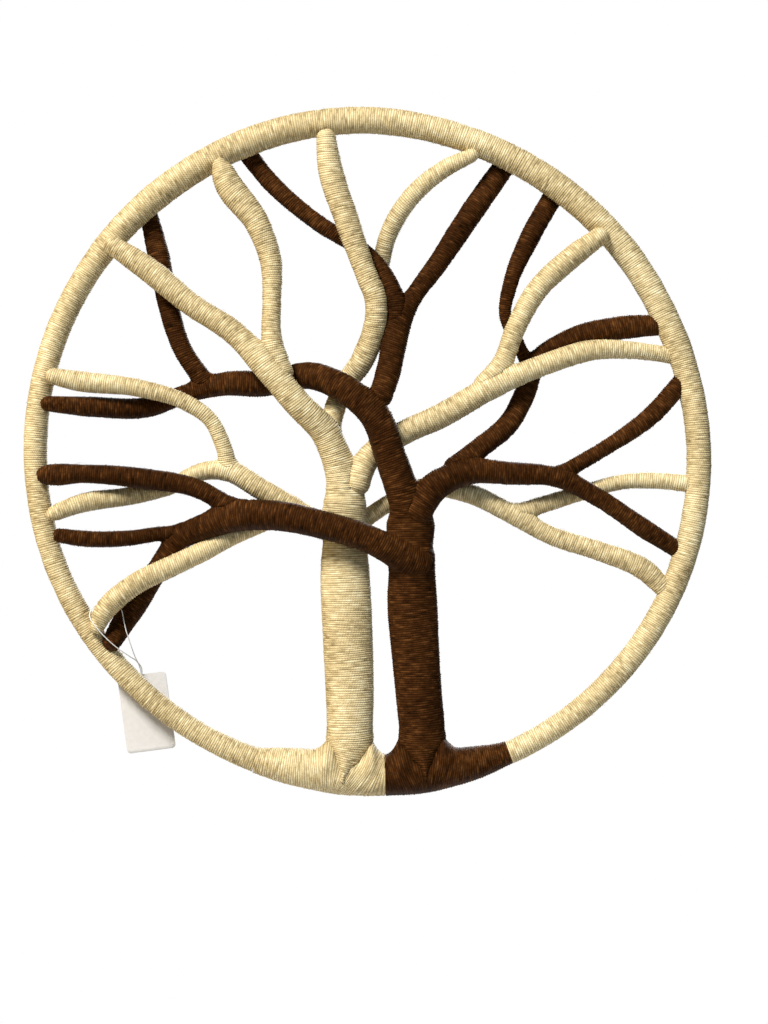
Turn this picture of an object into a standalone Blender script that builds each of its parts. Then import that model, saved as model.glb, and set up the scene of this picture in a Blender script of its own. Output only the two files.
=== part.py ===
"""Tree of life wall hanging: two trees of yarn-wrapped wire inside a yarn-wrapped steel hoop.

The tables hold millimetres from the hoop's centre: X to the right, Y away from the viewer and
towards the wall, Z up. The object's own origin is the point where a wall hook carries the hoop,
under the inner edge of its top.
"""

import math

import bmesh
import bpy
import numpy as np
from mathutils import Vector

MM = 0.001
GAP = 0.3  # clearance between pieces that touch

# Hoop: a steel rod bent to a ring, wound with yarn in five lengths that meet at seams
HOOP_RADIUS = 288.7
HOOP_ROD = 3.0
HOOP_WRAP = 11.5
HOOP_STEP_DEG = 6
HOOP_OVAL = 2.9  # the ring is bent by hand: wider by this along one diagonal, narrower across it
HOOP_OVAL_DEG = -38
HOOK_AT = (-17, 0, 276.2)
HOOP_SECTIONS_DEG = {
    "hoop_wrap_right": (-65, 17),
    "hoop_wrap_upper_right": (17, 70),
    "hoop_wrap_top": (70, 112),
    "hoop_wrap_left": (112, 195),
    "hoop_wrap_lower_left": (195, 250),
}
SEAM_DEG = 0.04  # half of the gap between two windings on the hoop

# Roots: thick windings that tie each trunk to the hoop, as (degrees, middle radius, half thickness)
ROOTS = {
    "cream_root": [
        (250, 288.5, 11.8), (256, 286.5, 14.2), (262, 282.5, 17.2), (268, 281.5, 18), (273, 282, 17),
    ],
    "brown_root": [(273, 282, 17), (279, 281.5, 17.8), (286, 285.5, 14.2), (295, 288.5, 11)],
}

# Trunks: (x, y, z, half width, half depth) from the crown down to the hoop
TRUNKS = {
    "cream_trunk": [
        (-21, -2, -24, 10, 9),
        (-21, -2, -32, 16.5, 14),
        (-19.5, -2, -70, 19.3, 13),
        (-19, -2, -97, 21.2, 14),
        (-14, -2, -231, 22.8, 16),
        (-14, -1, -276, 23, 16),
    ],
    "brown_trunk": [
        (35, -8, -38, 10, 10),
        (36, -8, -46, 16.5, 15),
        (39, -8, -85, 19, 15),
        (40, -7, -138, 22, 16),
        (47, -4, -231, 21, 16),
        (49, -1, -276, 21.8, 16),
    ],
}
CORE_SHARE = 0.5  # thickness of the wire bundle inside a trunk, of the trunk's own
CORE_FOOT = -291

# Branches: (x, y, z, radius) from the tip at the hoop to the root, and the piece they are bound to
BRANCHES = {
    "cream_branch_1": ("cream_branch_2", [
        (-238, -15, -160, 6.5), (-228, -15, -139, 9), (-202, -13, -116, 9.3),
        (-168, -10, -99, 9.3), (-145, -7, -88, 9), (-125, -4, -77, 8.7), (-88, 3, -60, 8.5),
        (-58, -2, -47, 8),
    ]),
    "cream_branch_2": ("cream_trunk", [
        (-279, -15, -57, 6.8), (-248, -8, -45, 8.3), (-205, 2, -38, 8.3), (-165, 6, -27, 8),
        (-143, 3, -17, 8.2), (-120, -2, -17, 9.4), (-93, -4, -31.5, 9.7), (-58, -2, -48, 9.2),
        (-28, -1, -58, 8.5),
    ]),
    "cream_branch_3": ("cream_branch_2", [
        (-276, -16, 66, 7), (-250, -14, 61, 8.8), (-198, -13, 55, 7.8), (-158, -12, 43, 7.3),
        (-136, -9, 28, 7.2), (-125, -6, 6, 7.2), (-119, -3, -16, 7),
    ]),
    "cream_branch_4": ("cream_trunk", [
        (-225, -16, 182, 8), (-187, -15, 156, 10.8), (-150, -15, 126, 10.2),
        (-115, -16, 103, 10.4), (-85, -19, 71, 11.8), (-61, -17, 43, 12.3), (-38, -9, 16, 13.4),
        (-25, -4, -14, 14.5), (-20, -3, -40, 14),
    ]),
    "cream_branch_5": ("cream_branch_4", [
        (-130, -16, 256, 8), (-120, -15, 232, 11.8), (-95, -15, 198, 11), (-84, -14, 165, 9.8),
        (-84, -15, 130, 9), (-84, -17, 100, 9.2), (-70, -17, 62, 9.2),
    ]),
    "cream_branch_6": ("cream_branch_4", [
        (-36, -17, 280, 8), (-31, -16, 243, 11), (-17, -15, 200, 10.6), (1, -14, 150, 9.6),
        (7, -13, 134, 9.3), (8, -12, 121, 9.3), (4, -7, 99, 9), (-6, -3, 79, 9), (-21, 6, 56, 9),
        (-29, 3, 34, 9.2), (-33, -5, 12, 9),
    ]),
    "cream_branch_7": ("cream_branch_6", [
        (95, -9, 259, 6), (66, -7, 245, 7.8), (37, -2, 220, 8.1), (18, 9, 188, 8.1),
        (12, 16, 161, 7.5), (3, 9, 128, 7.4), (-4, 3, 98, 7.6), (-5, -2, 82, 7.5),
    ]),
    "cream_branch_8": ("cream_branch_9", [
        (207, -13, 190, 8), (178, -12, 168.5, 10.2), (150, -12, 139.5, 10.2),
        (130, -12, 105, 9.8), (111, -11, 75, 9.4), (92, -9, 51, 9.2),
    ]),
    "cream_branch_9": ("cream_trunk", [
        (267, 1, 84, 7.3), (235, -4, 88, 7.6), (199, -8, 90, 8.7), (152, -12, 76, 9.3),
        (105, -10, 55.5, 9.6), (60, -3, 32, 9.6), (28, 4, 15, 9.8), (0, 4, -8, 10),
        (-14, -1, -34, 10),
    ]),
    "cream_branch_10": ("cream_branch_11", [
        (282, 0, -28, 7.5), (251, 1, -25, 7.3), (225, 2, -26, 6.8), (190, 4, -35, 7),
        (154, 4, -46, 7.5), (124, 1, -55, 7.5),
    ]),
    "cream_branch_11": ("cream_trunk", [
        (259, 0, -119, 8), (241, -1, -102, 9.6), (204, 0, -87, 8.8), (160, 1, -72.5, 8.3),
        (125, 1, -55.5, 8.4), (90, 5, -40, 8.2), (50, 14, -33, 7.6), (28, 16, -40, 7.6),
        (8, 12, -52, 7.6), (-12, 2, -68, 7.5),
    ]),
    "brown_branch_1": ("brown_trunk", [
        (-222, -7, -167, 6.5), (-204, 6, -137, 9.3), (-186, 9, -101, 9.5), (-162, 0, -73, 10.3),
        (-119, -13, -55, 11.5), (-80, -21, -54.5, 12.6), (-36, -29, -64, 12.2),
        (5, -29, -77, 12.2), (38, -12, -94, 12.5),
    ]),
    "brown_branch_2": ("brown_branch_1", [
        (-273, -13, -72, 6.4), (-240, -11, -76, 7.4), (-205, -5, -75, 6.9), (-176, 0, -71, 6.4),
        (-158, -1, -71, 6.4),
    ]),
    "brown_branch_3": ("brown_branch_1", [
        (-287, -16, -20, 6.9), (-238, -13, -20, 9.4), (-190, -13, -24, 9.2),
        (-150, -13, -31, 8.4), (-122, -13, -45, 7.9), (-104, -15, -54, 7.9),
    ]),
    "brown_branch_4": ("brown_trunk", [
        (-284, -14, 42, 6.8), (-240, -7, 39, 8.9), (-190, 3, 39.5, 8.9), (-158, 5, 51, 8.5),
        (-125, 4, 59.5, 10.6), (-88, 6.6, 60.5, 11.7), (-68, 6, 65, 11.7), (-48, -6, 68.5, 11.7),
        (-20, -17, 54.5, 12.3), (8, -21, 29.5, 13.4), (20, -20, -3, 14), (33, -15, -42, 14.4),
        (37, -10, -62, 14),
    ]),
    "brown_branch_5": ("brown_branch_4", [
        (-191, 15, 205, 8), (-182, 8, 170, 9.6), (-174, 4, 130, 9), (-160, 2, 88, 8.5),
        (-140, 3, 59, 8.3),
    ]),
    "brown_branch_6": ("brown_branch_7", [
        (-103, 14, 263, 7.4), (-84, 9, 239, 7.4), (-43, 6, 201, 7.4), (-1, 3, 174, 7.4),
        (14, -5, 157, 7.4), (26, -10, 130, 8), (28, -8, 114, 8),
    ]),
    "brown_branch_7": ("brown_branch_4", [
        (121, 15, 252, 9.5), (93.5, 9, 212.5, 10.5), (62, 2, 164.5, 9), (38, -6, 130, 8.3),
        (28, -8, 104, 9.8), (22, -11, 74, 10), (10, -17, 40, 10),
    ]),
    "brown_branch_8": ("brown_branch_9", [
        (162, 13, 222, 9), (143, 7, 188, 8.8), (126, 5, 148, 7.2), (121.5, 5, 118, 5.9),
        (132, 6, 96, 6), (144, 7, 70, 6),
    ]),
    "brown_branch_9": ("brown_branch_11", [
        (256, 2, 111, 9.5), (218, 3, 108, 10.4), (180, 5, 99, 9.9), (151, 7, 79, 9.3),
        (141, 6, 49.5, 9.3), (127.5, 1, 23.5, 9.3), (99.5, -4, 4, 9.3), (70, -12, -18, 9.3),
    ]),
    "brown_branch_10": ("brown_branch_11", [
        (273, 1, 59, 8.4), (248, -3, 31.5, 8.4), (208, -7, 3.5, 6.9), (165, -12, -21, 6.6),
    ]),
    "brown_branch_11": ("brown_trunk", [
        (271, 1, -85, 7.4), (241, -6, -66.5, 8.5), (200, -11, -39.5, 8.1), (165, -13, -22.5, 8.8),
        (125, -13, -16, 10), (88, -15, -15, 11), (60, -15, -30, 12.8), (40, -12, -56, 13),
    ]),
}
# Branches that also press against a neighbour where their roots meet
CROWDED = {"cream_branch_9": "cream_branch_4", "brown_branch_11": "brown_branch_4"}
WRAP_SIDES = 8
TRUNK_SIDES = 16
WIRE_SIDES = 5
WIRE = 1.5
BORE = 2.0
WIRE_STEP = 24  # spacing of the rings along a branch
TIP_SHARE = 0.6  # the end ring's radius, of the branch's

# Tag: a blank card on a cotton thread that is looped over a branch, behind the hoop
TAG_WIDTH = 43
TAG_ABOVE = 4.3  # from the pivot up to the card's top edge
TAG_BELOW = 63.7
TAG_THICK = 0.6
TAG_CORNER = 3.5
TAG_LEAN_DEG = -7.5
HOLE_RADIUS = 2.5
HOLE_DROP = 1.7  # from the thread that bears in the hole down to the hole's middle
PIVOT = (-197.7, 13.2, -199.5)

THREAD_RADIUS = 0.45
TURN_RADIUS = 2.0
THREAD_DOWN = [
    (-221, -4.2, -131), (-214, -5.5, -137), (-211, -8.5, -147), (-209, -9.5, -155),
    (-206, -6, -166), (-202.5, 2, -179), (-199, 8.4, -189), (-197.7, 11.2, -197.5),
]
THREAD_UP = [
    (-197.7, 15.2, -197.5), (-198.2, 14, -190), (-201, 7.5, -184), (-206.5, -6, -178),
    (-214.5, -16, -171), (-221, -20, -165), (-228, -23.5, -157.5), (-234, -24.5, -150),
    (-238.5, -22, -143.5), (-239, -15, -138.5), (-236, -8.5, -134), (-229, -4.2, -131),
]

CREAM = (0.60, 0.48, 0.28)
BROWN = (0.055, 0.022, 0.010)
STEEL = (0.30, 0.30, 0.31)
WHITE = (0.85, 0.85, 0.83)


def clear_scene():
    for obj in list(bpy.data.objects):
        bpy.data.objects.remove(obj, do_unlink=True)


def finish(obj, colour, roughness, metallic=0.0):
    """Gives the object a material of its own."""
    material = bpy.data.materials.new(obj.name)
    material.use_nodes = True
    shader = material.node_tree.nodes["Principled BSDF"]
    shader.inputs["Base Color"].default_value = (*colour, 1)
    shader.inputs["Roughness"].default_value = roughness
    shader.inputs["Metallic"].default_value = metallic
    obj.data.materials.append(material)


def smooth_route(points, stations):
    """The rows of a smooth curve through the points, at stations from 0 (first) to 1 (last)."""
    rows = np.array(points, float)
    knots = np.concatenate([[0], np.cumsum(np.linalg.norm(np.diff(rows[:, :3], axis=0), axis=1))])
    slopes = np.gradient(rows, knots, axis=0)
    along = np.asarray(stations) * knots[-1]
    left = np.clip(np.searchsorted(knots, along, side="right") - 1, 0, len(knots) - 2)
    span = (knots[left + 1] - knots[left])[:, None]
    t = (along - knots[left])[:, None] / span
    return (
        (1 + 2 * t) * (1 - t) ** 2 * rows[left]
        + t * (1 - t) ** 2 * span * slopes[left]
        + t * t * (3 - 2 * t) * rows[left + 1]
        + t * t * (t - 1) * span * slopes[left + 1]
    )


def route_length(points):
    return float(np.linalg.norm(np.diff(np.array(points, float)[:, :3], axis=0), axis=1).sum())


def ring_points(centre, tangent, half_width, half_depth, sides):
    """One cross-section: width lies in the hoop's plane and depth mostly along Y."""
    tangent = Vector(tangent).normalized()
    across = tangent.cross(Vector((0, 1, 0))).normalized()
    deep = across.cross(tangent)
    turn = [2 * math.pi * (k + 0.5) / sides for k in range(sides)]
    return [
        Vector(centre) + across * half_width * math.cos(a) + deep * half_depth * math.sin(a)
        for a in turn
    ]


def rings_of(rows, sides, grow=0.0):
    """Cross-sections at each row (x, y, z, half width, half depth)."""
    tangents = np.gradient(rows[:, :3], axis=0)
    return [
        ring_points(row[:3], tangent, row[3] + grow, row[4] + grow, sides)
        for row, tangent in zip(rows, tangents)
    ]


def tube(name, rings, parent, closed=False):
    """A closed solid through the rings: capped at both ends, or joined end to end."""
    bm = bmesh.new()
    loops = [[bm.verts.new(p * MM) for p in ring] for ring in rings]
    pairs = list(zip(loops, loops[1:] + ([loops[0]] if closed else [])))
    for low, high in pairs:
        for k in range(len(low)):
            n = (k + 1) % len(low)
            bm.faces.new((low[k], low[n], high[n], high[k]))
    if not closed:
        bm.faces.new(list(reversed(loops[0])))
        bm.faces.new(loops[-1])
    bmesh.ops.recalc_face_normals(bm, faces=bm.faces)
    mesh = bpy.data.meshes.new(name)
    bm.to_mesh(mesh)
    bm.free()
    mesh.shade_smooth()
    obj = bpy.data.objects.new(name, mesh)
    bpy.context.scene.collection.objects.link(obj)
    obj.parent = parent
    return obj


def helper(obj):
    """Marks an object that only cuts others."""
    obj.hide_render = True
    obj.display_type = "WIRE"
    return obj


def cut(obj, *cutters):
    for cutter in cutters:
        modifier = obj.modifiers.new(cutter.name, "BOOLEAN")
        modifier.operation = "DIFFERENCE"
        modifier.solver = "EXACT"
        modifier.object = cutter


def hoop_ring(angle_deg, middle, radius, sides):
    """A cross-section of the hoop, or of a winding on it, at an angle from +X."""
    angle = math.radians(angle_deg)
    out = Vector((math.cos(angle), 0, math.sin(angle)))
    middle += HOOP_OVAL * math.cos(2 * (angle - math.radians(HOOP_OVAL_DEG)))
    turn = [2 * math.pi * (k + 0.5) / sides for k in range(sides)]
    return [
        out * (middle + radius * math.cos(a)) + Vector((0, radius * math.sin(a), 0)) for a in turn
    ]


def full_ring(name, radius, sides, parent):
    angles = range(0, 360, HOOP_STEP_DEG)
    rings = [hoop_ring(a, HOOP_RADIUS, radius, sides) for a in angles]
    return tube(name, rings, parent, closed=True)


def steps_between(start, end):
    """The angles of a winding: both ends, and each whole step of the ring between them."""
    first = math.ceil((start + 1) / HOOP_STEP_DEG) * HOOP_STEP_DEG
    middle = [a for a in range(first, math.floor(end - 1) + 1, HOOP_STEP_DEG)]
    return [start + SEAM_DEG, *middle, end - SEAM_DEG]


def make_hoop(parent):
    """The steel ring and the five lengths of winding on it. Returns the cutter for its bore."""
    core = full_ring("hoop_core", HOOP_ROD, WIRE_SIDES, parent)
    finish(core, STEEL, 0.45, 1.0)
    bore = helper(full_ring("hoop_bore", HOOP_ROD + 2 * GAP, WIRE_SIDES, parent))
    for name, (start, end) in HOOP_SECTIONS_DEG.items():
        rings = [hoop_ring(a, HOOP_RADIUS, HOOP_WRAP, 10) for a in steps_between(start, end)]
        wrap = tube(name, rings, parent)
        cut(wrap, bore)
        finish(wrap, CREAM, 0.7)
    return bore


def root_rings(sections, angles, grow=0.0):
    table = np.array(sections, float)
    middles = np.interp(angles, table[:, 0], table[:, 1])
    radii = np.interp(angles, table[:, 0], table[:, 2]) + grow
    return [hoop_ring(a, m, r, 12) for a, m, r in zip(angles, middles, radii)]


def make_root(name, colour, hoop_bore, parent):
    """The winding over the hoop under one trunk. Returns it and its grown outside, a cutter."""
    sections = ROOTS[name]
    angles = steps_between(sections[0][0], sections[-1][0])
    wrap = tube(name + "_wrap", root_rings(sections, angles), parent)
    cut(wrap, hoop_bore)
    finish(wrap, colour, 0.7)
    return wrap, helper(tube(name + "_room", root_rings(sections, angles, GAP), parent))


def make_trunk(name, colour, root, root_room, hoop_bore, parent):
    """A trunk's wire bundle, standing on the hoop's rod, and the winding round it."""
    table = TRUNKS[name]
    rows = smooth_route(table, np.linspace(0, 1, 13))
    rows[:, 3:] = np.minimum(rows[:, 3:], [23, 16])
    inner = rows[2:].copy()
    inner[:, 3:] *= CORE_SHARE
    foot = inner[-1].copy()
    foot[2] = CORE_FOOT
    inner = np.vstack([inner, foot])
    core = tube(name + "_core", rings_of(inner, 8), parent)
    cut(core, hoop_bore)
    finish(core, STEEL, 0.5, 1.0)
    bore_rows = inner.copy()
    bore_rows[0, 2] += 2 * GAP
    core_room = helper(tube(name + "_bore", rings_of(bore_rows, 8, 2 * GAP), parent))
    cut(root, core_room)
    wrap = tube(name + "_wrap", rings_of(rows, TRUNK_SIDES), parent)
    cut(wrap, core_room, root_room)
    finish(wrap, colour, 0.7)
    return helper(tube(name + "_room", rings_of(rows, TRUNK_SIDES, GAP), parent))


def branch_rows(points):
    """Rings' rows from tip to root, drawn in at the tip and inside the piece it is bound to."""
    length = route_length(points)
    count = max(8, round(length / WIRE_STEP))
    tip = points[0][3] / length
    stations = [0, 0.7 * tip, *np.linspace(2 * tip, 1, count)]
    wide = [(*p, p[3]) for p in points]
    rows = smooth_route(wide, stations)
    rows[0, 3:] *= TIP_SHARE
    rows[-1, 3:] *= TIP_SHARE
    return rows


def make_branch_outside(name, parent):
    """The grown outside of a branch, which cuts what is bound to it."""
    rows = branch_rows(BRANCHES[name][1])
    return helper(tube(name + "_room", rings_of(rows, WRAP_SIDES, GAP), parent))


def make_branch(name, colour, rooms, parent):
    """A branch's wire and the yarn winding round it."""
    bound_to, points = BRANCHES[name]
    neighbours = [rooms["hoop"], rooms[bound_to]]
    if name in CROWDED:
        neighbours.append(rooms[CROWDED[name]])
    rows = branch_rows(points)
    line = rows[2:].copy()
    line[:, 3:] = WIRE
    wire_rows = line.copy()
    wire_rows[0] = 0.9 * line[0] + 0.1 * line[1]
    wire = tube(name + "_wire", rings_of(wire_rows, WIRE_SIDES), parent)
    cut(wire, *neighbours)
    finish(wire, STEEL, 0.4, 1.0)
    line[:, 3:] = BORE
    beyond = 2 * line[-1] - line[-2]
    line = np.vstack([line, 0.8 * line[-1] + 0.2 * beyond])
    bore = helper(tube(name + "_bore", rings_of(line, WIRE_SIDES), parent))
    wrap = tube(name + "_wrap", rings_of(rows, WRAP_SIDES), parent)
    cut(wrap, bore, *neighbours)
    finish(wrap, colour, 0.7)


def card_outline(steps=4):
    """The tag's outline about its pivot, anticlockwise seen from the front."""
    half = TAG_WIDTH / 2 - TAG_CORNER
    top = TAG_ABOVE - TAG_CORNER
    bottom = TAG_CORNER - TAG_BELOW
    middles = [(half, top, 0), (-half, top, 90), (-half, bottom, 180), (half, bottom, 270)]
    outline = []
    for x, z, start in middles:
        for k in range(steps + 1):
            a = math.radians(start + 90 * k / steps)
            outline.append((x + TAG_CORNER * math.cos(a), z + TAG_CORNER * math.sin(a)))
    return outline


def slab(name, outline, thick, parent):
    """A flat piece with its outline in XZ and its thickness along Y."""
    rings = [[Vector((x, y, z)) for x, z in outline] for y in (-thick / 2, thick / 2)]
    return tube(name, rings, parent)


def make_tag(parent):
    """The blank card and the hole its thread runs through. It swings about the thread."""
    pivot = bpy.data.objects.new("tag_pivot", None)
    bpy.context.scene.collection.objects.link(pivot)
    pivot.parent = parent
    pivot.location = Vector(PIVOT) * MM
    pivot.rotation_euler = (0, math.radians(TAG_LEAN_DEG), 0)
    card = slab("hang_tag", card_outline(), TAG_THICK, pivot)
    turn = [2 * math.pi * k / 12 for k in range(12)]
    hole = [(HOLE_RADIUS * math.cos(a), HOLE_RADIUS * math.sin(a) - HOLE_DROP) for a in turn]
    cut(card, helper(slab("tag_hole", hole, 4 * TAG_THICK, pivot)))
    finish(card, WHITE, 0.6)


def thread_points():
    """Down from behind the branch, through the tag's hole, and up over the branch again."""
    down = smooth_route(THREAD_DOWN, np.linspace(0, 1, 24))
    up = smooth_route(THREAD_UP, np.linspace(0, 1, 32))
    x, y, z = PIVOT
    turn = [
        (x, y - TURN_RADIUS * math.cos(a), z + TURN_RADIUS * (1 - math.sin(a)))
        for a in (math.pi * k / 6 for k in range(1, 6))
    ]
    return [*down, *turn, *up]


def make_thread(parent):
    curve = bpy.data.curves.new("tag_thread", "CURVE")
    curve.dimensions = "3D"
    curve.bevel_depth = THREAD_RADIUS * MM
    curve.bevel_resolution = 2
    curve.use_fill_caps = True
    points = thread_points()
    spline = curve.splines.new("POLY")
    spline.points.add(len(points) - 1)
    for place, point in zip(spline.points, points):
        place.co = (*(Vector(point) * MM), 1)
    thread = bpy.data.objects.new("tag_thread", curve)
    bpy.context.scene.collection.objects.link(thread)
    thread.parent = parent
    finish(thread, WHITE, 0.8)


def main():
    clear_scene()
    middle = bpy.data.objects.new("hoop_middle", None)
    bpy.context.scene.collection.objects.link(middle)
    middle.location = -Vector(HOOK_AT) * MM
    hoop_bore = make_hoop(middle)
    rooms = {"hoop": helper(full_ring("hoop_room", HOOP_WRAP + GAP, 10, middle))}
    colours = {"cream": CREAM, "brown": BROWN}
    for kind, colour in colours.items():
        root, root_room = make_root(kind + "_root", colour, hoop_bore, middle)
        trunk = kind + "_trunk"
        rooms[trunk] = make_trunk(trunk, colour, root, root_room, hoop_bore, middle)
    used = {bound_to for bound_to, _ in BRANCHES.values()} | set(CROWDED.values())
    for name in BRANCHES:
        if name in used:
            rooms[name] = make_branch_outside(name, middle)
    for name in BRANCHES:
        make_branch(name, colours[name.split("_")[0]], rooms, middle)
    make_tag(middle)
    make_thread(middle)


main()
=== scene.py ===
"""Looks of the tree of life wall hanging: yarn wound on wire, a steel hoop, a card on a thread.

Lengths in the tables are millimetres from the hoop's centre: X to the right, Y towards the wall,
Z up. The CAD's own origin is the hook's contact, under the inner edge of the hoop's top.
"""

import math

import bpy
import numpy as np
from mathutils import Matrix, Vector

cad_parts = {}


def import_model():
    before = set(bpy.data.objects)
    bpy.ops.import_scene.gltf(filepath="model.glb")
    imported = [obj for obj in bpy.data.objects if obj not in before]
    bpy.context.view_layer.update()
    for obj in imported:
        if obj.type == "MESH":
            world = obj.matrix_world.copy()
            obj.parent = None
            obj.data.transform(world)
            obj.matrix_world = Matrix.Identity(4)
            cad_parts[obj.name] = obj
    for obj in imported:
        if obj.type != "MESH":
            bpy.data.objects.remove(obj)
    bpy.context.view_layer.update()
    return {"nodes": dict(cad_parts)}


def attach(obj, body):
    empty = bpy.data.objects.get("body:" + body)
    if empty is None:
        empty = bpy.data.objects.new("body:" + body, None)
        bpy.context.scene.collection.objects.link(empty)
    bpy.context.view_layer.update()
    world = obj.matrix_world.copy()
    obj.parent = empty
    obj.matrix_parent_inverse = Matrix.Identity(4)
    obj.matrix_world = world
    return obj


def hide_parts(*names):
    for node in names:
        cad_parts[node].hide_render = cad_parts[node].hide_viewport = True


MM = 0.001
HOOK_AT = np.array([-17, 0, 276.2])
SEED = 7

# Hoop: the radius of its middle line, how far that is longer or shorter as an oval, and the
# direction in which it is longest. Angles are anticlockwise from +X, seen from the front.
HOOP_RADIUS = 288.7
HOOP_OVAL = 2.9
HOOP_OVAL_DEG = -38
# Half thickness of its winding, as (degrees, half thickness)
HOOP_THICKNESS = [
    (-65, 10.2), (-50, 10.3), (-38, 10.6), (-20, 11), (0, 11), (16, 11.2), (18, 11.9), (32, 12),
    (50, 12.2), (69, 12.1), (72, 11.7), (90, 11.8), (105, 12.2), (111, 12.6), (114, 12.2),
    (130, 12.4), (145, 10.9), (165, 10.4), (194, 10.3), (197, 9.9), (215, 10.3), (240, 9.9),
    (250, 10.9),
]
# How far its middle line strays outwards from that oval, as (degrees, distance)
HOOP_BULGE = [
    (-65, 0.1), (-40, 0.8), (-25, 1.4), (0, 0.5), (14, -0.4), (25, -1.4), (38, -0.4), (50, -0.5),
    (68, -0.3), (90, 1.6), (104, 0.5), (125, -2.2), (150, -2.1), (175, -0.6), (200, 1.6),
    (215, 1.2), (240, 0), (250, -0.5),
]
HOOP_SECTIONS_DEG = {
    "hoop_wrap_right": (-65, 17),
    "hoop_wrap_upper_right": (17, 70),
    "hoop_wrap_top": (70, 112),
    "hoop_wrap_left": (112, 195),
    "hoop_wrap_lower_left": (195, 250),
}

# Roots, as (degrees, middle radius, half thickness)
ROOTS = {
    "cream_root": [(250, 288.5, 10.8), (255, 284.8, 15.8), (260, 282.5, 17.8), (265, 283.5, 18),
                   (273, 282.8, 18.2)],
    "brown_root": [(273, 282.8, 18.2), (280, 283.4, 18.8), (285, 284.3, 17), (290, 286.4, 14.3),
                   (295, 288.5, 9.9)],
}
# How much the turns of each root lean as they fan out beside its trunk, as (degrees, lean)
LEANS = {
    "cream_root": [(256, 0), (262, -0.4), (269, 0.9), (273, 0.25)],
    "brown_root": [(273, -0.1), (277.4, -0.5), (282.9, 0.5), (290, 0.05)],
}

# Trunks, as (x, y, z, half width, half depth) from the crown down
TRUNKS = {
    "cream_trunk": [
        (-20, -2, -26, 10, 9), (-19.5, -2, -34, 15.4, 14), (-19, -2, -70, 18.5, 14.5),
        (-19, -2, -97, 21, 15), (-16.4, -2, -164, 21.9, 16), (-14.8, -2, -211, 21.1, 16.5),
        (-14.7, -2, -242, 20.3, 17.2), (-15, -1.5, -253, 20.6, 18),
        (-16.3, -1.5, -262, 16.3, 18.8), (-17.4, -1.5, -267, 12.5, 18.8),
        (-18.5, -1.5, -272, 9, 18.8), (-19.7, -1.5, -278, 5, 18.8),
        (-20.9, -1.5, -284, 1.6, 17.5), (-21, -1, -287, 1, 12),
    ],
    "brown_trunk": [
        (37, -8, -46, 10, 10), (37.5, -8, -54, 17.5, 15), (39, -8, -85, 19, 15.5),
        (40, -7, -138, 22, 16), (41.7, -6, -164, 21.3, 16.3), (45.4, -5, -211, 20.3, 16.8),
        (48.2, -2.5, -242, 20.2, 17.3), (48.5, -1.5, -254, 20.5, 18),
        (49.2, -1.5, -262, 15.8, 18.8), (49.8, -1.5, -267, 11.7, 18.8),
        (50.3, -1.5, -272, 8, 18.8), (50.6, -1.5, -277, 4.3, 18.8),
        (50.9, -1.5, -282, 1.5, 17.5), (51, -1, -285, 1, 12),
    ],
}
FOOT = 7  # the row of a trunk where it meets its root
TRUNK_DEPTH = 18  # half depth that no trunk exceeds

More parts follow.
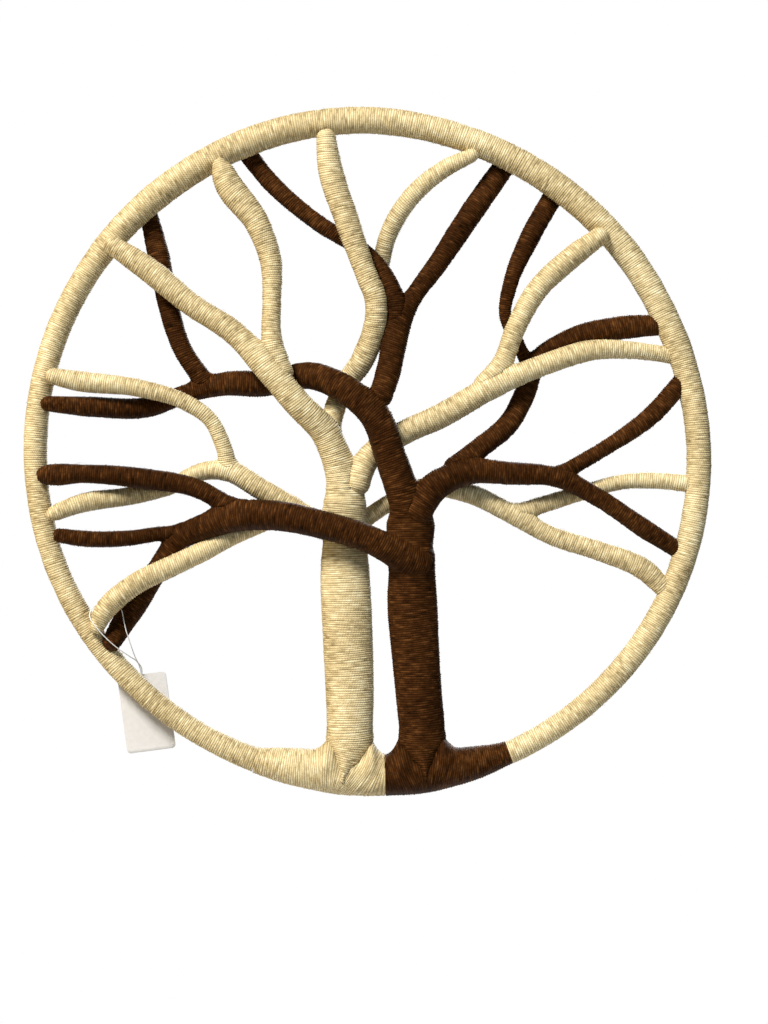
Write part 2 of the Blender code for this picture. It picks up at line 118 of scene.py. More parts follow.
# Branches, as (x, y, z, radius) from the tip to the root, and what they are bound to
BRANCHES = {
    "cream_branch_1": ("cream_branch_2", [
        (-237.5, -15, -159.5, 6.5), (-227, -15, -138.5, 9.2), (-202, -13, -116, 9.3),
        (-168, -10, -99, 9.3), (-145, -7, -88, 9), (-125, -4, -77, 8.7), (-88, 3, -60, 8.5),
        (-58, -2, -47, 8),
    ]),
    "cream_branch_2": ("cream_trunk", [
        (-279, -15, -57, 6.8), (-248, -8, -45, 8.3), (-205, 2, -38, 8.3), (-165, 6, -27, 8),
        (-143, 3, -17, 8.2), (-120, -2, -17, 9.4), (-93, -4, -32, 9.7), (-58, -2, -52, 9),
        (-26, -1, -70, 8.5),
    ]),
    "cream_branch_3": ("cream_branch_2", [
        (-276, -16, 66, 7), (-250, -14, 61, 8.8), (-198, -13, 55, 7.8), (-158, -12, 43, 7.3),
        (-136, -9, 28, 7.2), (-125, -6, 6, 7.2), (-119, -3, -16, 7),
    ]),
    "cream_branch_4": ("cream_trunk", [
        (-225, -16, 182, 8), (-187, -15, 156, 10.8), (-150, -15, 126, 10.2), (-115, -16, 103, 10.4),
        (-85, -19, 71, 11.8), (-61, -17, 43, 12.1), (-36, -9, 16, 12.6), (-23.5, -4, -14, 13.7),
        (-20, -3, -40, 13.5),
    ]),
    "cream_branch_5": ("cream_branch_4", [
        (-130, -16, 256, 8), (-120, -15, 232, 11.8), (-95, -15, 198, 11), (-83, -14, 165, 9.5),
        (-82, -15, 130, 8.3), (-82, -17, 100, 8.8), (-70, -17, 62, 9.2),
    ]),
    "cream_branch_6": ("cream_branch_4", [
        (-36, -17, 280, 8), (-31, -16, 243, 11), (-17, -15, 200, 10.6), (1, -14, 150, 9.6),
        (7.5, -13, 134, 10), (8.5, -12, 121, 10), (5, -7, 99, 9.8), (-4, -3, 79, 10),
        (-21, 6, 56, 9), (-29, 3, 34, 9.2), (-33, -5, 12, 9),
    ]),
    "cream_branch_7": ("cream_branch_6", [
        (95, -9, 259, 6), (66, -7, 245, 7.8), (37, -2, 220, 8.1), (18, 9, 188, 8.1),
        (12, 16, 161, 7.5), (8, 9, 128, 7.4), (1, 3, 98, 7.4), (-4, -2, 82, 7.5),
    ]),
    "cream_branch_8": ("cream_branch_9", [
        (207, -13, 190, 8), (178, -12, 168.5, 9.7), (147.5, -12, 139.5, 9.5), (128.5, -12, 105, 9),
        (118, -11, 78, 8.8), (98, -9, 54, 8.8),
    ]),
    "cream_branch_9": ("cream_trunk", [
        (267, 1, 84, 7.3), (235, -4, 88, 7.6), (199, -8, 88.5, 9), (152, -12, 74.5, 9.3),
        (105, -10, 54, 10.4), (62, -3, 30, 11), (32, 1, 16.5, 10.7), (0, -6, -8, 10.7),
        (-10, -9, -36, 10.8),
    ]),
    "cream_branch_10": ("cream_branch_11", [
        (282, 0, -28, 7.5), (251, 1, -25, 7.3), (225, 2, -26, 6.8), (190, 4, -35, 7),
        (154, 4, -46, 7.5), (124, 1, -55, 7.5),
    ]),
    "cream_branch_11": ("cream_trunk", [
        (259, 0, -119, 8), (241, -1, -102, 9.6), (204, 0, -87, 8.8), (160, 1, -72.5, 8.3),
        (125, 1, -53.5, 8.5), (92, 5, -37, 9), (50, 14, -31, 8.6), (28, 16, -40, 7.6),
        (8, 12, -52, 7.6), (-12, 2, -68, 7.5),
    ]),
    "brown_branch_1": ("brown_trunk", [
        (-222, -9, -167, 7.4), (-213.5, 3, -150, 10.2), (-203, 7, -134, 10.8), (-182, 9, -101, 9.6),
        (-160, 0, -73.5, 10.8), (-141, -7, -65.5, 11.9), (-119, -13, -57.5, 13.3),
        (-80, -21, -55.5, 13.2), (-36, -29, -64, 12.2), (5, -29, -77, 12.2), (31, -21, -91, 12.8),
        (53, -9, -99, 12.5),
    ]),
    "brown_branch_2": ("brown_branch_1", [
        (-273, -13, -72, 6.4), (-240, -11, -76, 7.4), (-205, -5, -75, 6.9), (-176, 0, -71, 6.4),
        (-158, -1, -71, 6.4),
    ]),
    "brown_branch_3": ("brown_branch_1", [
        (-287, -16, -20.5, 7.2), (-272, -15, -20.3, 9.5), (-249, -13.5, -19.4, 8.5),
        (-190, -13, -24, 9.2), (-150, -13, -31, 8.4), (-122, -13, -45, 7.9), (-104, -15, -54, 7.9),
    ]),
    "brown_branch_4": ("brown_trunk", [
        (-284, -14, 42, 6.8), (-240, -7, 39, 8.9), (-190, 3, 39.5, 8.9), (-158, 5, 51, 8.5),
        (-125, 4, 59.5, 10.6), (-88, 6.6, 60.5, 11.7), (-68, 6, 65, 11.2), (-48, -6, 66, 11.9),
        (-20, -17, 54.5, 12.3), (8, -21, 29.5, 13.4), (20, -20, -3, 14), (33, -15, -42, 14.4),
        (37, -10, -62, 14),
    ]),
    "brown_branch_5": ("brown_branch_4", [
        (-191, 15, 205, 8), (-182, 8, 170, 9.6), (-174, 4, 130, 9), (-160, 2, 88, 8.5),
        (-140, 3, 59, 8.3),
    ]),
    "brown_branch_6": ("brown_branch_7", [
        (-105, 14, 263, 8.6), (-85.5, 9, 238, 8), (-43, 6, 201, 7.4), (-1, 3, 174, 7.4),
        (14, -5, 157, 7.4), (25, -10, 130, 8.4), (26, -8, 110, 8), (23, -9, 88, 7.5),
    ]),
    "brown_branch_7": ("brown_branch_4", [
        (121, 15, 252, 9.5), (93.5, 9, 212.5, 10.5), (62, 2, 164.5, 9), (38, -6, 130, 8.3),
        (26, -8, 104, 11), (20, -11, 74, 11), (10, -17, 40, 10),
    ]),
    "brown_branch_8": ("brown_branch_9", [
        (162, 13, 222, 9), (143, 7, 188, 8.8), (126, 5, 148, 6.7), (121.5, 5, 118, 5.3),
        (132, 6, 96, 6), (144, 7, 70, 6),
    ]),
    "brown_branch_9": ("brown_branch_11", [
        (256, 2, 111, 9.5), (218, 3, 108, 10.4), (180, 5, 99, 9.9), (149, 7, 79, 9.3),
        (138, 6, 50, 9.5), (124.5, 1, 25.5, 9.5), (99.5, -4, 4, 9.3), (70, -12, -18, 9.3),
    ]),
    "brown_branch_10": ("brown_branch_11", [
        (273, 1, 59, 8.4), (248, -3, 31.5, 8.4), (208, -7, 3.5, 6.9), (165, -12, -21, 6.6),
    ]),
    "brown_branch_11": ("brown_trunk", [
        (271, 1, -85, 7.4), (241, -6, -66.5, 8.5), (200, -11, -39.5, 8.1), (165, -13, -22.5, 8.8),
        (125, -13, -19, 10.2), (88, -15, -18, 11.2), (60, -18, -30, 13), (39, -17, -60, 13.5),
    ]),
}
# Lengths that also grow together where they leave their trunk or limb
ALSO_JOINED = [("cream_branch_9", "cream_branch_4"), ("brown_branch_11", "brown_branch_4")]

# Shape of the tips, as (length of the rounding in radii, how far the tip runs on past its row):
# most lie over the hoop, and some are tucked behind it
LAPPED = (1.1, 2)
TUCKED = (0.2, 7)
TIPS = {
    "cream_branch_1": (1, -2), "cream_branch_2": (1.7, -1), "cream_branch_5": (1.9, -2),
    "cream_branch_6": (0.9, -1), "cream_branch_9": (1.2, 5), "cream_branch_10": (1, 4),
    "cream_branch_11": TUCKED,
    "brown_branch_1": (0.7, 6), "brown_branch_2": (0.8, -1), "brown_branch_3": (1.1, -1),
    "brown_branch_4": (1.1, -1), "brown_branch_5": TUCKED, "brown_branch_6": TUCKED,
    "brown_branch_7": TUCKED, "brown_branch_8": TUCKED, "brown_branch_9": (0.8, 4),
    "brown_branch_10": TUCKED, "brown_branch_11": TUCKED,
}
ROOT_END = 0.8  # length of the rounding at a branch's other end, in radii

# Yarn
YARN = 1.9  # spacing of the turns
PITCH_SPREAD = 0.09  # how much one turn's spacing varies, as a share of it
PITCH_LEAST = 0.6  # the closest spacing, as a share of the plain one
LAP = 1.2  # how many turns a winding on the hoop runs on past where the next one starts
RIDGE = 0.5  # how far a turn stands out of the grooves beside it
PROUD = 0.16  # how much more or less some stretches stand out
WOBBLE = 0.26  # how far the turns stray from an even spacing
WOBBLES = 3  # how often they do so in one turn
STEADY = 6  # over this distance from each end they settle down and run straight
DRIFT = 0.12  # how much the half thickness of a length varies
TRUNK_LEAN = 0.05  # how much the turns of a trunk lean this way and that
BRANCH_LEAN = 0.07
ROWS = 4  # rows of points across one turn
SIDE = 3.5  # width of the sides round a tube
SIDES_LEAST = 14
STATION = 2  # spacing of the points on a middle line
STEPS_PER_DEGREE = 3  # points on the middle line of the hoop and its roots
EASING = 6  # how many of those points on each side a corner in a table is rounded off over

# Joints
FILLET = 7  # how near two joined lengths have to be to swell into each other
FIRST_FILLET = 12  # the same where the lowest brown branch fans out over its trunk
TRUNK_FILLET = 5  # the same for a trunk beside its root
CLIMB = 12  # how far the turns of a root climb beside a trunk, and how wide the hollow is
OVER_FOOT = 12  # how far in from a trunk's side they still climb
SINK = 3  # how deep turns may sink where they run inside a joined length
SINK_SHARE = 1.1  # how much they sink for each millimetre that they are inside
STOUT = 0.45  # thinner ends than this share of a length's thickness are joined to nothing
THINNEST = 0.05  # the share of the thickness that is left at a rounded end
CHUNK = 8000  # how many points are measured at a time

# Stray fibres
FIBRES = 0.4  # how many for each millimetre of a wound length
FREE_SHARE = 0.6  # the share of them that have a free end; the others arch
FIBRE_LENGTH = (2, 7)
FIBRE_HEIGHT = (0.3, 1.4)  # how far they stand off the turns
FIBRE_SLANT = 0.4  # how much they run along the length instead of round it
FIBRE_BEND = 0.5
FIBRE_MARGIN = 3  # how far from the ends of the length they start
FIBRE_RADIUS = 0.08
FIBRE_TAPER = 0.6
FIBRE_POINTS = 6

# Card and thread, as in the CAD
TAG_WIDTH = 43
TAG_ABOVE = 4.3  # from the pivot up to the card's top edge
TAG_BELOW = 63.7
TAG_THICK = 0.6
TAG_CORNER = 3.5
TAG_LEAN_DEG = -7.5
TAG_CURL = 1.2  # height of the wave along which the card curls back
TAG_CURL_ARC = 2.2  # how much of that wave its height takes up, in radians
TAG_BOW = 0.0009  # how far it bows back for each square millimetre from its middle
TAG_EDGE = 0.12  # how far its edges are softened
TAG_RINGS = 22  # rings of points from the hole to the edge
HOLE_RADIUS = 2.5
HOLE_DROP = 1.7  # from the pivot down to the middle of the hole
PIVOT = (-197.7, 13.2, -199.5)
THREAD_RADIUS = 0.45
THREAD_SIDES = 10
THREAD_STEP = 0.5
THREAD_LAY = 2.4  # length of one twist
TURN_RADIUS = 2.0  # of the thread's turn through the hole
# The thread's two strands, as (x, y, z): down to the hole and up over the branch again
THREAD_DOWN = [
    (-221, -4.2, -131), (-214, -5.5, -137), (-211, -8.5, -147), (-209, -9.5, -155),
    (-206, -6, -166), (-202.5, 2, -179), (-199, 8.4, -189), (-197.7, 11.2, -197.5),
]
THREAD_UP = [
    (-197.7, 15.2, -197.5), (-198.2, 14, -190), (-201, 7.5, -184), (-206.5, -6, -178),
    (-214.5, -16, -171), (-221, -20, -165), (-228, -23.5, -157.5), (-234, -24.5, -150),
    (-238.5, -22, -143.5), (-239, -15, -138.5), (-236, -8.5, -134), (-229, -4.2, -131),
]

# Studio, in metres
CAMERA_AT = (0.0321, -1.8, -0.3287)
VIEW_HEIGHT = 0.894  # how much the camera sees from top to bottom at the hoop
SENSOR = 36
HOOP_MIDDLE = (0.017, 0, -0.276)
WORLD_LIGHT = 0.04
FLOOR_HALF = 1.1
FLOOR_LEVEL = -1.45

random = np.random.default_rng(SEED)


# ---------------------------------------------------------------- middle lines and distances


def smooth_route(points, stations):
    """The rows of a smooth curve through the points, at stations from 0 (first) to 1 (last)."""
    rows = np.array(points, float)
    knots = np.concatenate([[0], np.cumsum(np.linalg.norm(np.diff(rows[:, :3], axis=0), axis=1))])
    slopes = np.gradient(rows, knots, axis=0)
    along = np.asarray(stations) * knots[-1]
    left = np.clip(np.searchsorted(knots, along, side="right") - 1, 0, len(knots) - 2)
    span = (knots[left + 1] - knots[left])[:, None]
    t = (along - knots[left])[:, None] / span
    return (
        (1 + 2 * t) * (1 - t) ** 2 * rows[left]
        + t * (1 - t) ** 2 * span * slopes[left]
        + t * t * (3 - 2 * t) * rows[left + 1]
        + t * t * (t - 1) * span * slopes[left + 1]
    )


def unit(vectors):
    return vectors / np.linalg.norm(vectors, axis=1)[:, None]


class Tube:
    """A wound length: a middle line with the half width and half depth round it."""

    def __init__(self, rows, noses=(0, 0), lean=None, is_root=False):
        """rows are (x, y, z, half width, half depth). noses are the lengths of its rounded ends.

        lean is how far the turns lean at each row. The turns of a root climb up the trunks.
        """
        self.middle = rows[:, :3]
        self.tangent = unit(np.gradient(self.middle, axis=0))
        self.across = unit(np.cross(self.tangent, [0, 1, 0]))
        self.deep = np.cross(self.across, self.tangent)
        steps = np.linalg.norm(np.diff(self.middle, axis=0), axis=1)
        self.at = np.concatenate([[0], np.cumsum(steps)])
        self.length = self.at[-1]
        self.noses = noses
        self.plain_half = rows[:, 3:5]
        self.half = self.plain_half * self.rounding(self.at)[:, None]
        self.lean = lean
        self.is_root = is_root

    def rounding(self, at):
        """How much of its full thickness the length has at each distance from its start."""
        share = np.ones(len(at))
        for nose, from_end in zip(self.noses, (at, self.length - at)):
            if nose:
                inside = np.clip(1 - from_end / nose, 0, 1)
                share = np.minimum(share, np.sqrt(np.maximum(1 - inside**2, 0)))
        return np.maximum(share, THINNEST)

    def interpolate(self, at, values):
        return np.stack([np.interp(at, self.at, values[:, k]) for k in range(values.shape[1])], 1)

    def surface(self, at, angle):
        """Points on the plain tube, and the directions straight out of it."""
        middle = self.interpolate(at, self.middle)
        across = self.interpolate(at, self.across)
        deep = self.interpolate(at, self.deep)
        half = self.interpolate(at, self.plain_half) * self.rounding(at)[:, None]
        cos, sin = np.cos(angle)[:, None], np.sin(angle)[:, None]
        wide, thick = half[:, :1], half[:, 1:]
        point = middle + across * wide * cos + deep * thick * sin
        out = unit(across * cos / wide + deep * sin / thick)
        return point, out

    def distance(self, points, reach):
        """How far points are outside the tube, leaving out its thin end, or reach if further."""
        found = np.full(len(points), float(reach))
        stout = self.half[:, 0] > STOUT * self.half[:, 0].max()
        middle, tangent, half = self.middle[stout], self.tangent[stout], self.half[stout]
        across, deep = self.across[stout], self.deep[stout]
        margin = half.max() + reach
        low, high = middle.min(0) - margin, middle.max(0) + margin
        near = np.flatnonzero(((points > low) & (points < high)).all(1))
        for some in np.array_split(near, max(1, len(near) // CHUNK)):
            if not len(some):
                continue
            offset = points[some][:, None, :] - middle[None]
            nearest = (offset**2).sum(2).argmin(1)
            offset = offset[np.arange(len(some)), nearest]
            along = (offset * tangent[nearest]).sum(1)
            beyond = np.where(nearest == 0, -along, np.where(nearest == len(middle) - 1, along, 0))
            side = (offset * across[nearest]).sum(1)
            back = (offset * deep[nearest]).sum(1)
            away = np.hypot(side, back) + 1e-9
            wide, thick = half[nearest].T
            edge = wide * thick / np.hypot(thick * side / away, wide * back / away)
            outside = away - edge
            past = np.maximum(beyond, 0)
            far = np.where(past > 0, np.hypot(np.maximum(outside, 0), past), outside)
            found[some] = np.minimum(far, reach)
        return found


def hoop_rows(angles_deg, middles, halves):
    angle = np.radians(angles_deg)
    radius = middles + HOOP_OVAL * np.cos(2 * (angle - math.radians(HOOP_OVAL_DEG)))
    rows = [radius * np.cos(angle), 0 * angle, radius * np.sin(angle), halves, halves]
    return np.stack(rows, 1)


def wander(at, spacing, size):
    """A smooth random curve: values of about that size, which change over that spacing."""
    knots = np.arange(0, at[-1] + 2 * spacing, spacing)
    values = random.normal(0, size, len(knots))
    return np.interp(at, knots, values)


def eased(angles, table, column=1):
    """Values from a table of degrees, with its corners rounded off over a few degrees."""
    table = np.array(table)
    values = np.interp(angles, table[:, 0], table[:, column])
    width = 2 * EASING + 1
    return np.convolve(np.pad(values, EASING, mode="edge"), np.ones(width) / width, mode="valid")


def one_turn_on(degrees):
    """The angle where a winding ends that meets the spiral start of the next one in a groove."""
    return degrees + math.degrees(LAP * YARN / HOOP_RADIUS)


def hoop_tube(start, end):
    angles = np.linspace(start, one_turn_on(end), round((end - start) * STEPS_PER_DEGREE))
    halves = np.interp(angles, *np.transpose(HOOP_THICKNESS))
    halves = halves + wander(angles - angles[0], spacing=2.2, size=DRIFT)
    return Tube(hoop_rows(angles, HOOP_RADIUS + eased(angles, HOOP_BULGE), halves))


def root_tube(name):
    table = ROOTS[name]
    start, end = table[0][0], one_turn_on(table[-1][0])
    angles = np.linspace(start, end, round((end - start) * STEPS_PER_DEGREE))
    rows = hoop_rows(angles, eased(angles, table), eased(angles, table, column=2))
    return Tube(rows, lean=eased(angles, LEANS[name]), is_root=True)


def trunk_tube(name):
    table = TRUNKS[name]
    height = table[0][2] - table[-1][2]
    rows = smooth_route(table, np.linspace(0, 1, round(height / STATION)))
    rows[:, 4] = np.minimum(rows[:, 4], TRUNK_DEPTH)
    lean = wander(np.linspace(0, height, len(rows)), spacing=25, size=TRUNK_LEAN)
    return Tube(rows, noses=(4, 0), lean=lean)


def branch_tube(name):
    points = np.array([(*p, p[3]) for p in BRANCHES[name][1]], float)
    rounding, run_on = TIPS.get(name, LAPPED)
    points[0, :3] += unit(points[:1, :3] - points[1:2, :3])[0] * run_on
    length = np.linalg.norm(np.diff(points[:, :3], axis=0), axis=1).sum()
    rows = smooth_route(points, np.linspace(0, 1, round(length / STATION)))
    at = np.linspace(0, length, len(rows))
    rows[:, 3:] += wander(at, spacing=14, size=DRIFT)[:, None]
    noses = (rounding * points[0, 3], ROOT_END * points[-1, 3])
    return Tube(rows, noses, lean=wander(at, spacing=40, size=BRANCH_LEAN))


def all_tubes():
    tubes = {name: hoop_tube(*span) for name, span in HOOP_SECTIONS_DEG.items()}
    tubes.update({name: root_tube(name) for name in ROOTS})
    tubes.update({name: trunk_tube(name) for name in TRUNKS})
    tubes.update({name: branch_tube(name) for name in BRANCHES})
    return tubes


def joined():
    """For each length, those that grow together with it, and within what distance."""
    pairs = {}

    def join(one, other, fillet):
        pairs.setdefault(one, {})[other] = fillet
        pairs.setdefault(other, {})[one] = fillet

    for name, (bound_to, _) in BRANCHES.items():
        join(name, bound_to, FILLET)
    for one, other in ALSO_JOINED:
        join(one, other, FILLET)
    join("brown_branch_1", "brown_trunk", FIRST_FILLET)
    for root in ROOTS:
        for trunk in TRUNKS:
            join(root, trunk, TRUNK_FILLET)
    return pairs


# ---------------------------------------------------------------- yarn


def sides_for(radius):
    """How many points go round a tube."""
    return max(SIDES_LEAST, 2 * round(math.pi * radius / SIDE))


def swell(tube, points, out, neighbours, tubes):
    """How far to move points along out, so that joined lengths run into each other smoothly.

    The turns of a root climb beside the trunks instead of swelling evenly.
    """
    rise = np.zeros(len(points))
    drop = np.zeros(len(points))
    for other, fillet in neighbours.items():
        away = tubes[other].distance(points, fillet)
        rise = np.maximum(rise, np.maximum(fillet - np.abs(away), 0) ** 2 / (4 * fillet))
        drop = np.maximum(drop, np.clip(-SINK_SHARE * away, 0, SINK))
    if tube.is_root:
        rise = climb(points) * np.clip(out[:, 2], 0, 1)
    return rise - drop


def climb(points):
    """How far the turns of a root climb up the sides of the trunks and over their feet."""
    share = np.zeros(len(points))
    for rows in TRUNKS.values():
        x, _, _, half, _ = rows[FOOT]
        beside = np.abs(points[:, 0] - x) - half
        outside = np.maximum(1 - beside / CLIMB, 0) ** 2
        over = np.maximum(1 - (beside / OVER_FOOT) ** 2, 0)
        share = np.maximum(share, np.where(beside > 0, outside, over))
    return CLIMB * share


def strays(turns, size):
    """A random curve along the yarn, as a function of its turn."""
    values = random.normal(0, size, WOBBLES * (turns + 2))
    return lambda turn: np.interp(turn * WOBBLES, np.arange(len(values)), values)


def fibre_shells(tube):
    """Fine fibres that arch or stick out of the winding: points of closed shells, and faces."""
    count = round(tube.length * FIBRES)
    share = np.linspace(0, 1, FIBRE_POINTS)
    free = random.random((count, 1)) < FREE_SHARE
    length = random.uniform(*FIBRE_LENGTH, (count, 1))
    height = random.uniform(*FIBRE_HEIGHT, (count, 1))
    bow = np.where(free, share**1.5, np.sin(math.pi * share))
    bend = random.normal(0, FIBRE_BEND, (count, 1)) * share
    start = random.uniform(FIBRE_MARGIN, tube.length - FIBRE_MARGIN, (count, 1))
    at = start + length * share * (random.normal(0, FIBRE_SLANT, (count, 1)) + bend)
    turned = length * share / tube.half.mean() * random.choice([-1, 1], (count, 1))
    angle = random.uniform(0, 2 * math.pi, (count, 1)) + turned
    point, out = tube.surface(at.ravel(), angle.ravel())
    point = (point + out * (height * bow).reshape(-1, 1)).reshape(count, FIBRE_POINTS, 3)
    out = out.reshape(point.shape)
    tangent = np.gradient(point, axis=1)
    side = np.cross(tangent, out)
    side /= np.linalg.norm(side, axis=2)[..., None] + 1e-9
    radius = FIBRE_RADIUS * (1 - FIBRE_TAPER * share)[None, :, None]
    corners = [point + radius * (out * math.cos(a) + side * math.sin(a))
               for a in (0, 2 * math.pi / 3, 4 * math.pi / 3)]
    points = np.stack(corners, 2).reshape(-1, 3)
    faces = []
    for first in range(0, len(points), 3 * FIBRE_POINTS):
        for ring in range(first, first + 3 * (FIBRE_POINTS - 1), 3):
            for c in range(3):
                d = (c + 1) % 3
                faces.append((ring + c, ring + d, ring + 3 + d, ring + 3 + c))
        last = first + 3 * (FIBRE_POINTS - 1)
        faces += [(first + 2, first + 1, first), (last, last + 1, last + 2)]
    return points, faces


def yarn_points(tube, row, side, sides, turns, neighbours, tubes):
    """Points of the winding, for their rows along the yarn and their sides round the tube."""
    pitch = np.maximum(random.normal(1, PITCH_SPREAD, turns), PITCH_LEAST)
    starts = np.concatenate([[0], np.cumsum(pitch)]) / pitch.sum() * tube.length
    at = np.interp(row / ROWS + side / sides, np.arange(turns + 1), starts)
    strand = row // ROWS + side / sides
    phase = (row % ROWS) / ROWS
    inside = np.clip(np.minimum(at, tube.length - at) / STEADY, 0, 1)
    wobble = strays(turns, WOBBLE)
    at = at + inside * ((1 - phase) * wobble(strand) + phase * wobble(strand + 1))
    angle = 2 * math.pi * side / sides
    if tube.lean is not None:
        lean = inside * np.interp(at, tube.at, tube.lean)
        at = at + lean * np.interp(at, tube.at, tube.half[:, 0]) * np.cos(angle)
    point, out = tube.surface(np.clip(at, 0, tube.length), angle)
    point = point + out * swell(tube, point, out, neighbours, tubes)[:, None]
    ridge = RIDGE + strays(turns, PROUD)(strand)
    high = ridge * np.sqrt(1 - (2 * phase - 1) ** 2) - RIDGE
    return point + out * high[:, None]


def add_attributes(mesh, tube, row, side, sides):
    """Say for each quad's corners how far along the yarn they are, in mm, and how far over it."""
    strand = row // ROWS + side / sides
    round_mm = 2 * math.pi * tube.half.mean()
    along = np.stack([strand, strand + 1 / sides, strand + 1 / sides, strand], 1) * round_mm
    over = (row % ROWS) / ROWS
    over = np.stack([over, over, over + 1 / ROWS, over + 1 / ROWS], 1)
    for label, values in (("along", along), ("over", over)):
        attribute = mesh.attributes.new(label, "FLOAT", "CORNER")
        filled = np.full(len(mesh.loops), 0.5, np.float32)  # 0.5 for the caps and fibres
        filled[: values.size] = values.ravel()
        attribute.data.foreach_set("value", filled)


def yarn_mesh(name, tube, neighbours, tubes):
    """One piece of yarn wound round a tube in touching turns, as a closed mesh, and its fibres.

    Its points lie along the turns, in ROWS rows for each: the first runs in the groove. Going once
    round the tube leads from one turn to the next, so a row is numbered on from turn to turn.
    """
    sides = sides_for(tube.half.max())
    turns = round(tube.length / YARN)
    last = ROWS * (turns - 1)

    def index(r, s):
        r, s = np.asarray(r) + np.where(np.asarray(s) == sides, ROWS, 0), np.asarray(s) % sides
        return np.where(r <= last, r * sides + s, (last + 1) * sides + r - last - 1)

    row, side = np.meshgrid(np.arange(last + 1), np.arange(sides), indexing="ij")
    row = np.concatenate([row.ravel(), last + 1 + np.arange(ROWS)])
    side = np.concatenate([side.ravel(), np.zeros(ROWS, int)])
    point = yarn_points(tube, row, side, sides, turns, neighbours, tubes)

    r, s = (grid.ravel() for grid in np.meshgrid(np.arange(last), np.arange(sides), indexing="ij"))
    quads = np.stack([index(r, s), index(r, s + 1), index(r + 1, s + 1), index(r + 1, s)], 1)
    first_edge = [*index(0, np.arange(sides)), *index(np.arange(ROWS, 0, -1), 0)]
    last_edge = [*index(last, np.arange(sides)), *index(last + np.arange(ROWS, 0, -1), 0)]
    first_centre, last_centre = len(point), len(point) + 1
    vertices = [*point, point[first_edge].mean(0), point[last_edge].mean(0)]
    caps = [(b, a, first_centre) for a, b in zip(first_edge, first_edge[1:] + first_edge[:1])]
    caps += [(a, b, last_centre) for a, b in zip(last_edge, last_edge[1:] + last_edge[:1])]
    fibres, fibre_faces = fibre_shells(tube)
    shells = [tuple(len(vertices) + corner for corner in face) for face in fibre_faces]

    mesh = bpy.data.meshes.new(name)
    placed = (np.array([*vertices, *fibres]) - HOOK_AT) * MM
    faces = quads.tolist() + [tuple(map(int, c)) for c in caps] + shells
    mesh.from_pydata(placed.tolist(), [], faces)
    mesh.shade_smooth()
    add_attributes(mesh, tube, r, s, sides)
    return mesh


# ---------------------------------------------------------------- materials


class Nodes:
    """Short names for building one material's node tree."""

    def __init__(self, name):
        self.material = bpy.data.materials.new(name)
        self.material.use_nodes = True
        self.tree = self.material.node_tree
        self.shader = self.tree.nodes["Principled BSDF"]

    def add(self, kind, **values):
        node = self.tree.nodes.new(kind)
        for key, value in values.items():
            setattr(node, key, value)
        return node

    def link(self, output, target):
        self.tree.links.new(output, target)

    def feed(self, socket, value):
        """Give a socket a number, a colour or another node's output."""
        if isinstance(value, (int, float)):
            socket.default_value = value
        elif isinstance(value, tuple):
            socket.default_value = (*value, 1)
        else:
            self.link(value, socket)

    def math(self, operation, a, b=0.0, c=0.0):
        node = self.add("ShaderNodeMath", operation=operation)
        for socket, value in zip(node.inputs, (a, b, c)):
            self.feed(socket, value)
        return node.outputs[0]

    def attribute(self, name):
        return self.add("ShaderNodeAttribute", attribute_name=name).outputs["Fac"]

    def combine(self, x, y, z=0.0):
        node = self.add("ShaderNodeCombineXYZ")
        for socket, value in zip(node.inputs, (x, y, z)):
            self.feed(socket, value)
        return node.outputs[0]

    def noise(self, vector, scale, detail):
        node = self.add("ShaderNodeTexNoise")
        node.inputs["Scale"].default_value = scale
        node.inputs["Detail"].default_value = detail
        self.link(vector, node.inputs["Vector"])
        return node.outputs["Fac"]

    def ramp(self, factor, stops):
        node = self.add("ShaderNodeValToRGB")
        elements = node.color_ramp.elements
        while len(elements) < len(stops):
            elements.new(0.5)
        for element, (place, colour) in zip(elements, stops):
            element.position = place
            element.color = (*colour, 1)
        self.link(factor, node.inputs["Fac"])
        return node.outputs["Color"]

    def mix(self, factor, a, b):
        node = self.add("ShaderNodeMix", data_type="RGBA")
        sockets = [s for s in node.inputs if s.type == "RGBA"]
        for socket, value in ((node.inputs[0], factor), (sockets[0], a), (sockets[1], b)):
            self.feed(socket, value)
        return [s for s in node.outputs if s.type == "RGBA"][0]

    def bump(self, height, strength, distance):
        node = self.add("ShaderNodeBump")
        node.inputs["Strength"].default_value = strength
        node.inputs["Distance"].default_value = distance
        self.link(height, node.inputs["Height"])
        self.link(node.outputs["Normal"], self.shader.inputs["Normal"])

    def set(self, **values):
        """Feed the shader's inputs, which are named with underscores for spaces."""
        for key, value in values.items():
            self.feed(self.shader.inputs[key.replace("_", " ")], value)

    def place(self):
        return self.add("ShaderNodeTexCoord").outputs["Object"]


